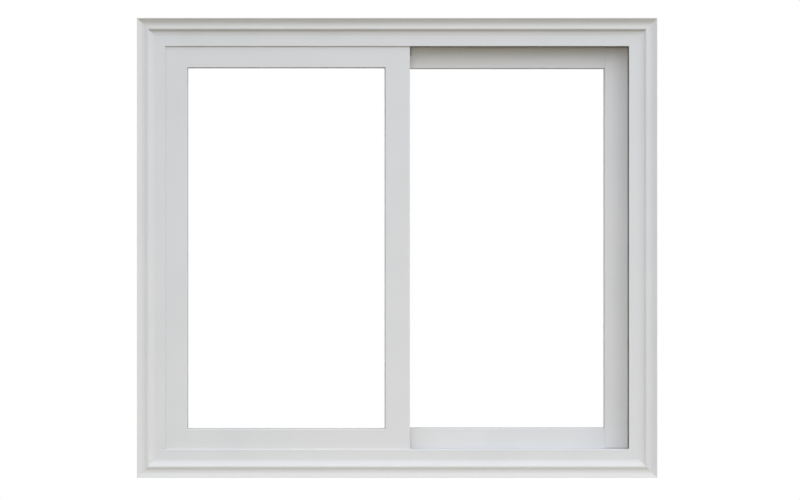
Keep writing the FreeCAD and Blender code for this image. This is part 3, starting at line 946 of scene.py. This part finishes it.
@dataclass
class SealSection:
    """A soft seal's section, run round a rectangle with mitred corners."""

    name: str
    corners: Sequence[Pair]

    def run(self, low: Vector, high: Vector, material: Material) -> bpy.types.Object:
        """Runs the section round.

        Args:
            low: The ring's lowest outer corner, at the depth where the section starts.
            high: Its highest outer corner.
            material: The seal's finish.

        Returns:
            The seal.
        """
        rounds = (
            (Side.LEFT, Side.BOTTOM),
            (Side.RIGHT, Side.BOTTOM),
            (Side.RIGHT, Side.TOP),
            (Side.LEFT, Side.TOP),
        )
        points = []
        for across, upright in rounds:
            x = low.x if across is Side.LEFT else high.x
            z = low.z if upright is Side.BOTTOM else high.z
            points += [
                (x + across.value[0] * inward, low.y + depth, z + upright.value[1] * inward)
                for inward, depth in self.corners
            ]
        return shown_mesh(self.name, points, sleeve(len(rounds), len(self.corners)), material)


def rounded(start: Pair, end: Pair, bulge: float) -> list[Pair]:
    """Points on a bowed line, for a soft lip.

    Args:
        start: Where it starts.
        end: Where it ends.
        bulge: How far its middle stands out, to the right of the way from start to end.

    Returns:
        The points, both ends among them.
    """
    across = (end[1] - start[1], start[0] - end[0])
    length = math.hypot(*across)
    found = []
    for i in range(LIP_STEPS + 1):
        t = i / LIP_STEPS
        lift = bulge * math.sin(math.pi * t) / length
        along, deep = (a + (b - a) * t + c * lift for a, b, c in zip(start, end, across))
        found.append((along, deep))
    return found


@dataclass
class GlazingSeals:
    """The soft lips that grip each sealed unit, outdoors and under the beads.

    The nose's root, tip and bulge and the lip's bulge are shares of the lip's width.
    """

    finishes: Finishes
    sash: str
    bead_width: float = 17.8 * MM
    lip: float = 0.9 * MM
    lip_height: float = 1.5 * MM
    lip_root: float = 1.2 * MM
    lip_start: float = 0.05 * MM
    lip_tuck: float = 0.1 * MM
    lip_bulge: float = 0.25
    nose_root: float = 1.4
    nose_tip: float = 0.3
    nose_bulge: float = 0.45

    def outdoor(self) -> None:
        """The gasket on the glass leg, with a rounded nose against the pane."""
        node = f"{self.sash}_glazing_gasket"
        low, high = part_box(node)
        thick = high.y - low.y
        wide = self.ring_width(node)
        root = (wide - self.nose_root * self.lip, 0.0)
        tip = (wide - self.nose_tip * self.lip, thick)
        nose = rounded(root, tip, self.nose_bulge * self.lip)
        corners = [(0.0, thick), (0.0, 0.0), *nose]
        section = SealSection(f"{self.sash}_gasket_lip", corners)
        place_piece(section.run(low, high, self.finishes["gasket"]), "gasket", node)

    def indoor(self) -> None:
        """The lip under the beads' noses, on the inside pane."""
        low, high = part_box(f"{self.sash}_glazing_beads")
        edge = self.bead_width
        root = edge - self.lip_root
        start, end = (edge + self.lip, self.lip_start), (edge - self.lip_tuck, self.lip_height)
        tip = rounded(start, end, self.lip_bulge * self.lip)
        corners = [(root, self.lip_start), *tip, (root, self.lip_height)]
        section = SealSection(f"{self.sash}_bead_lip", corners)
        place_piece(section.run(low, high, self.finishes["gasket"]), "gasket")

    def ring_width(self, node: str) -> float:
        """Measures a ring's side.

        Args:
            node: The CAD node's name.

        Returns:
            Its width, from the outer edge to the opening.
        """
        middle = middle_of(node).x
        points = [v.co.x for v in frame["nodes"][node].data.vertices]
        return max(x for x in points if x < middle) - min(points)


@dataclass
class Brush:
    """Upright tufts on a flat backing, as cut pile has."""

    finishes: Finishes
    pitch: float = 1.15 * MM
    thickness: float = 0.5 * MM
    flange: float = 1.7 * MM
    lean: float = 0.35 * MM
    uneven: float = 0.25
    core: float = 2.4 * MM
    seed: int = 11

    def tufted(
        self, low: Vector, high: Vector, base: float, tip: float, backing: float,
        flange: float = 0.0,
    ) -> Shape:
        """A backing and its tufts between two depths.

        Args:
            low: The lowest corner of the room that the brush has.
            high: The highest corner.
            base: The depth of the backing's fixed face.
            tip: The depth that the tufts reach.
            backing: The thickness of the backing.
            flange: How far the backing shows past the tufts on its two long sides.

        Returns:
            The points and the faces.
        """
        draw = random.Random(self.seed)
        way = math.copysign(1.0, tip - base)
        floor = base + way * backing
        grow_x, grow_z = (flange, 0.0) if high.x - low.x < high.z - low.z else (0.0, flange)
        x0, x1, z0, z1 = low.x - grow_x, high.x + grow_x, low.z - grow_z, high.z + grow_z
        sheet = ((x0, z0), (x1, z0), (x1, z1), (x0, z1))
        points: list[Point] = [(x, y, z) for y in (base, floor) for x, z in sheet]
        faces = [[0, 1, 2, 3], [4, 5, 6, 7], *sleeve(2, len(sheet), closed=False)]
        half = self.pitch / 2
        columns = max(2, round((high.x - low.x) / self.pitch))
        rows = max(2, round((high.z - low.z) / self.pitch))
        step_x = (high.x - low.x - 2 * half) / (columns - 1)
        step_z = (high.z - low.z - 2 * half) / (rows - 1)
        for i in range(columns):
            for j in range(rows):
                x, z = low.x + half + i * step_x, low.z + half + j * step_z
                first = len(points)
                turn = draw.uniform(0, math.pi / 2)
                for k in range(4):
                    a = turn + k * math.pi / 2
                    points.append((x + half * math.cos(a), floor, z + half * math.sin(a)))
                reach = tip - way * draw.uniform(0, self.uneven) * abs(tip - floor)
                lean_x = draw.uniform(-1, 1) * self.lean
                lean_z = draw.uniform(-1, 1) * self.lean
                end_x = min(max(x + lean_x, low.x), high.x)
                points.append((end_x, reach, min(max(z + lean_z, low.z), high.z)))
                faces += [[first + k, first + (k + 1) % 4, first + 4] for k in range(4)]
        return points, faces

    def strips(self, name: str, node: str, carrier_indoors: bool | None) -> None:
        """Makes the pile strips that stand for a node's plain bars.

        Args:
            name: The piece's name.
            node: The CAD node with one plain bar for each strip.
            carrier_indoors: Whether the strip's fixed face is its indoor one. None where the
                strips sit on both faces of the centre divider.
        """
        parts = []
        divider = middle_of("head_seal_strips").y
        for low, high in islands(node):
            indoors = carrier_indoors
            if indoors is None:
                indoors = (low.y + high.y) / 2 < divider
            base, tip = (high.y, low.y) if indoors else (low.y, high.y)
            parts.append(self.tufted(low, high, base, tip, self.thickness, self.flange))
        place_piece(shown_mesh(name, *joined(parts), self.finishes["pile"]), "pile", node)

    def block(self, name: str, node: str, drawn_in: float) -> None:
        """Makes a dust block: a core with tufts on both its faces.

        Args:
            name: The piece's name.
            node: The CAD node that it stands for.
            drawn_in: How far its ends stop short of the plain block's.
        """
        low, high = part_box(node)
        inset = Vector((drawn_in, 0.0, 0.0))
        low, high = low + inset, high - inset
        middle = (low.y + high.y) / 2
        halves = joined(self.tufted(low, high, middle, y, self.core / 2) for y in (low.y, high.y))
        place_piece(shown_mesh(name, *halves, self.finishes["dust_pile"]), "pile", node)


@dataclass
class ScrewCaps:
    """The domed caps over the fixing screws, on the floors of the jambs' inner channels.

    The dome's and the edge's widths are shares of the radius, and the edge's height is a share of
    the flange.
    """

    finishes: Finishes
    radius: float = 6.5 * MM
    rise: float = 2.2 * MM
    flange: float = 0.5 * MM
    dome_width: float = 0.86
    edge_width: float = 0.96
    edge_height: float = 0.6
    dome_degrees: Sequence[float] = (0, 15, 30, 45, 60, 75, 88)
    track_end_gap: float = 1.0 * MM
    turns: int = 32

    def profile(self) -> list[Pair]:
        """Draws the cap's half section.

        Returns:
            Its points from the rim to the crown, as radius and height above the channel floor.
        """
        wide, tall = self.radius * self.dome_width, self.rise - self.flange
        angles = [math.radians(degrees) for degrees in self.dome_degrees]
        return [
            (self.radius, 0.0),
            (self.radius, self.flange * self.edge_height),
            (self.radius * self.edge_width, self.flange),
            *((wide * math.cos(a), self.flange + tall * math.sin(a)) for a in angles),
        ]

    def cap(self, seat: Point, side: int) -> Shape:
        """One cap, domed towards the middle of the window.

        Args:
            seat: The middle of its seat on the channel floor.
            side: 1 on the right jamb and -1 on the left one.

        Returns:
            The cap's points and faces.
        """
        x, y, z = seat
        angles = [2 * math.pi * i / self.turns for i in range(self.turns)]
        section = self.profile()
        points = [
            (x - side * up, y + radius * math.cos(a), z + radius * math.sin(a))
            for radius, up in section
            for a in angles
        ]
        faces = sleeve(len(section), self.turns, closed=False)
        last = len(points) - self.turns
        faces += [[start + i for i in range(self.turns)] for start in (0, last)]
        return points, faces

    def build(self) -> None:
        """Turns the caps and sets one at each screw."""
        low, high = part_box("inner_track_rail")
        caps = []
        for mount in frame["record"]["mounts"]:
            if mount["kind"] != "bolt_pattern":
                continue
            x, y, z = mount["pos_m"]
            side = 1 if x > 0 else -1
            floor = (high.x if side > 0 else low.x) + side * self.track_end_gap
            spread = mount["dims"]["spacing_y_mm"] * MM / 2
            caps += [self.cap((floor, y, height), side) for height in (z - spread, z + spread)]
        piece = shown_mesh("jamb_screw_caps", *joined(caps), self.finishes["moulded"])
        place_piece(piece, "upvc")


@dataclass(frozen=True)
class Softbox:
    """A square soft lamp, placed by its bearing from straight in front of the window."""

    name: str
    bearing: float
    height: float
    power: float
    colour: str
    size: float = 3.2
    distance: float = 6.5
    shown: bool = True

    def place(self, target: Vector) -> None:
        """Sets the lamp up, facing its target.

        Args:
            target: The point that it lights.
        """
        lamp = bpy.data.lights.new(self.name, "AREA")
        lamp.shape = "SQUARE"
        lamp.size = self.size
        lamp.energy = self.power
        lamp.color = linear(self.colour)[:3]
        side, up = math.radians(self.bearing), math.radians(self.height)
        way = Vector((math.sin(side) * math.cos(up), -math.cos(side) * math.cos(up), math.sin(up)))
        piece = bpy.data.objects.new(self.name, lamp)
        piece.location = target + way * self.distance
        piece.visible_camera = self.shown
        piece.visible_glossy = self.shown
        piece.visible_transmission = self.shown
        piece.rotation_mode = "QUATERNION"
        piece.rotation_quaternion = way.to_track_quat("Z", "Y")
        bpy.context.scene.collection.objects.link(piece)


@dataclass
class Studio:
    """The camera, the soft light, the white surround and the pale floor."""

    finishes: Finishes
    eye: tuple[float, float, float] = (0.00658, -10.0, 0.51267)
    lens: float = 194.7
    floor_level: float = -0.9
    floor_size: float = 5.0
    sky: float = 1.375
    sky_colour: str = "#EFF4FF"
    horizon: float = 0.01
    lamps: tuple[Softbox, ...] = (
        Softbox("soft_key", 40.0, 32.0, 67.5, "#FAFFFF"),
        Softbox("side_fill", 70.0, 12.0, 43.0, "#FFF7D7"),
        # These two light the window from right before and behind it, and would show in its glass.
        Softbox("low_fill", 0.0, -13.0, 10.1, "#FFE4AC", size=1.2, distance=2.6, shown=False),
        Softbox("room_fill", 180.0, 10.0, 88.0, "#FFEFD8", shown=False),
    )

    def camera(self) -> None:
        """Sets the camera straight in front of the window, at the middle of its height."""
        data = bpy.data.cameras.new("eye")
        data.lens = self.lens
        data.sensor_fit = "HORIZONTAL"
        piece = bpy.data.objects.new("eye", data)
        piece.location = self.eye
        piece.rotation_euler = (math.radians(90), 0, 0)
        bpy.context.scene.collection.objects.link(piece)
        bpy.context.scene.camera = piece

    def world(self) -> None:
        """An even sky down to the horizon, behind a plain white surround."""
        world = bpy.data.worlds.new("studio")
        world.use_nodes = True
        tree = world.node_tree
        tree.nodes.clear()
        way = add_node(tree, "TexCoord").outputs["Generated"]
        up = add_node(tree, "SeparateXYZ", (way,)).outputs["Z"]
        rise = (-self.horizon, self.horizon, 0.0, self.sky)
        level = add_node(tree, "MapRange", (up, *rise)).outputs[0]
        sky = add_node(tree, "Background", {"Color": linear(self.sky_colour), "Strength": level})
        white = add_node(tree, "Background", {"Color": linear("#FFFFFF"), "Strength": 1.0})
        path = add_node(tree, "LightPath").outputs
        seen = path["Is Camera Ray"]
        for name in ("Is Glossy Ray", "Is Transmission Ray"):
            seen = add_node(tree, "Math", (seen, path[name]), operation="MAXIMUM").outputs[0]
        mix = add_node(tree, "MixShader", (seen, sky.outputs[0], white.outputs[0]))
        add_node(tree, "OutputWorld", {"Surface": mix.outputs[0]})
        bpy.context.scene.world = world

    def floor(self) -> None:
        """A pale sheet below the window, as far down as a window sill is high."""
        half = self.floor_size / 2
        corners = ((-half, -half), (half, -half), (half, half), (-half, half))
        points = [(x, y, self.floor_level) for x, y in corners]
        sheet = shown_mesh("paper_floor", points, [[0, 1, 2, 3]], self.finishes["floor"])

    def build(self) -> None:
        """Sets up all of the studio."""
        self.camera()
        for lamp in self.lamps:
            lamp.place(CAD_MIDDLE)
        self.world()
        self.floor()
        bpy.context.scene.view_settings.view_transform = "Standard"


def main() -> None:
    """Builds the studio and dresses the window."""
    finishes = Finishes()
    finishes.build()
    Studio(finishes).build()
    dressing = Dressing(finishes)
    dressing.frame_nodes()
    seams = WeldSeams(finishes)
    seams.build("frame_weld_seams", ("frame_head", "frame_sill"))
    brush = Brush(finishes)
    brush.strips("head_pile", "head_seal_strips", None)
    brush.strips("jamb_pile", "jamb_seal_strips", None)
    # The photo shows the end of the upper block beside the meeting stile, and not the lower one's.
    brush.block("top_dust_pile", "top_dust_block", 2.0 * MM)
    brush.block("bottom_dust_pile", "bottom_dust_block", 5.0 * MM)
    ScrewCaps(finishes).build()
    for sash, carrier_indoors in (("outer_sash", False), ("inner_sash", True)):
        dressing.sash_nodes(sash)
        seams.build(f"{sash}_weld_seams", (f"{sash}_top_rail", f"{sash}_bottom_rail"))
        seals = GlazingSeals(finishes, sash)
        seals.outdoor()
        seals.indoor()
        brush.strips(f"{sash}_sill_pile", f"{sash}_bottom_seal", carrier_indoors)


if __name__ == "__main__":
    main()
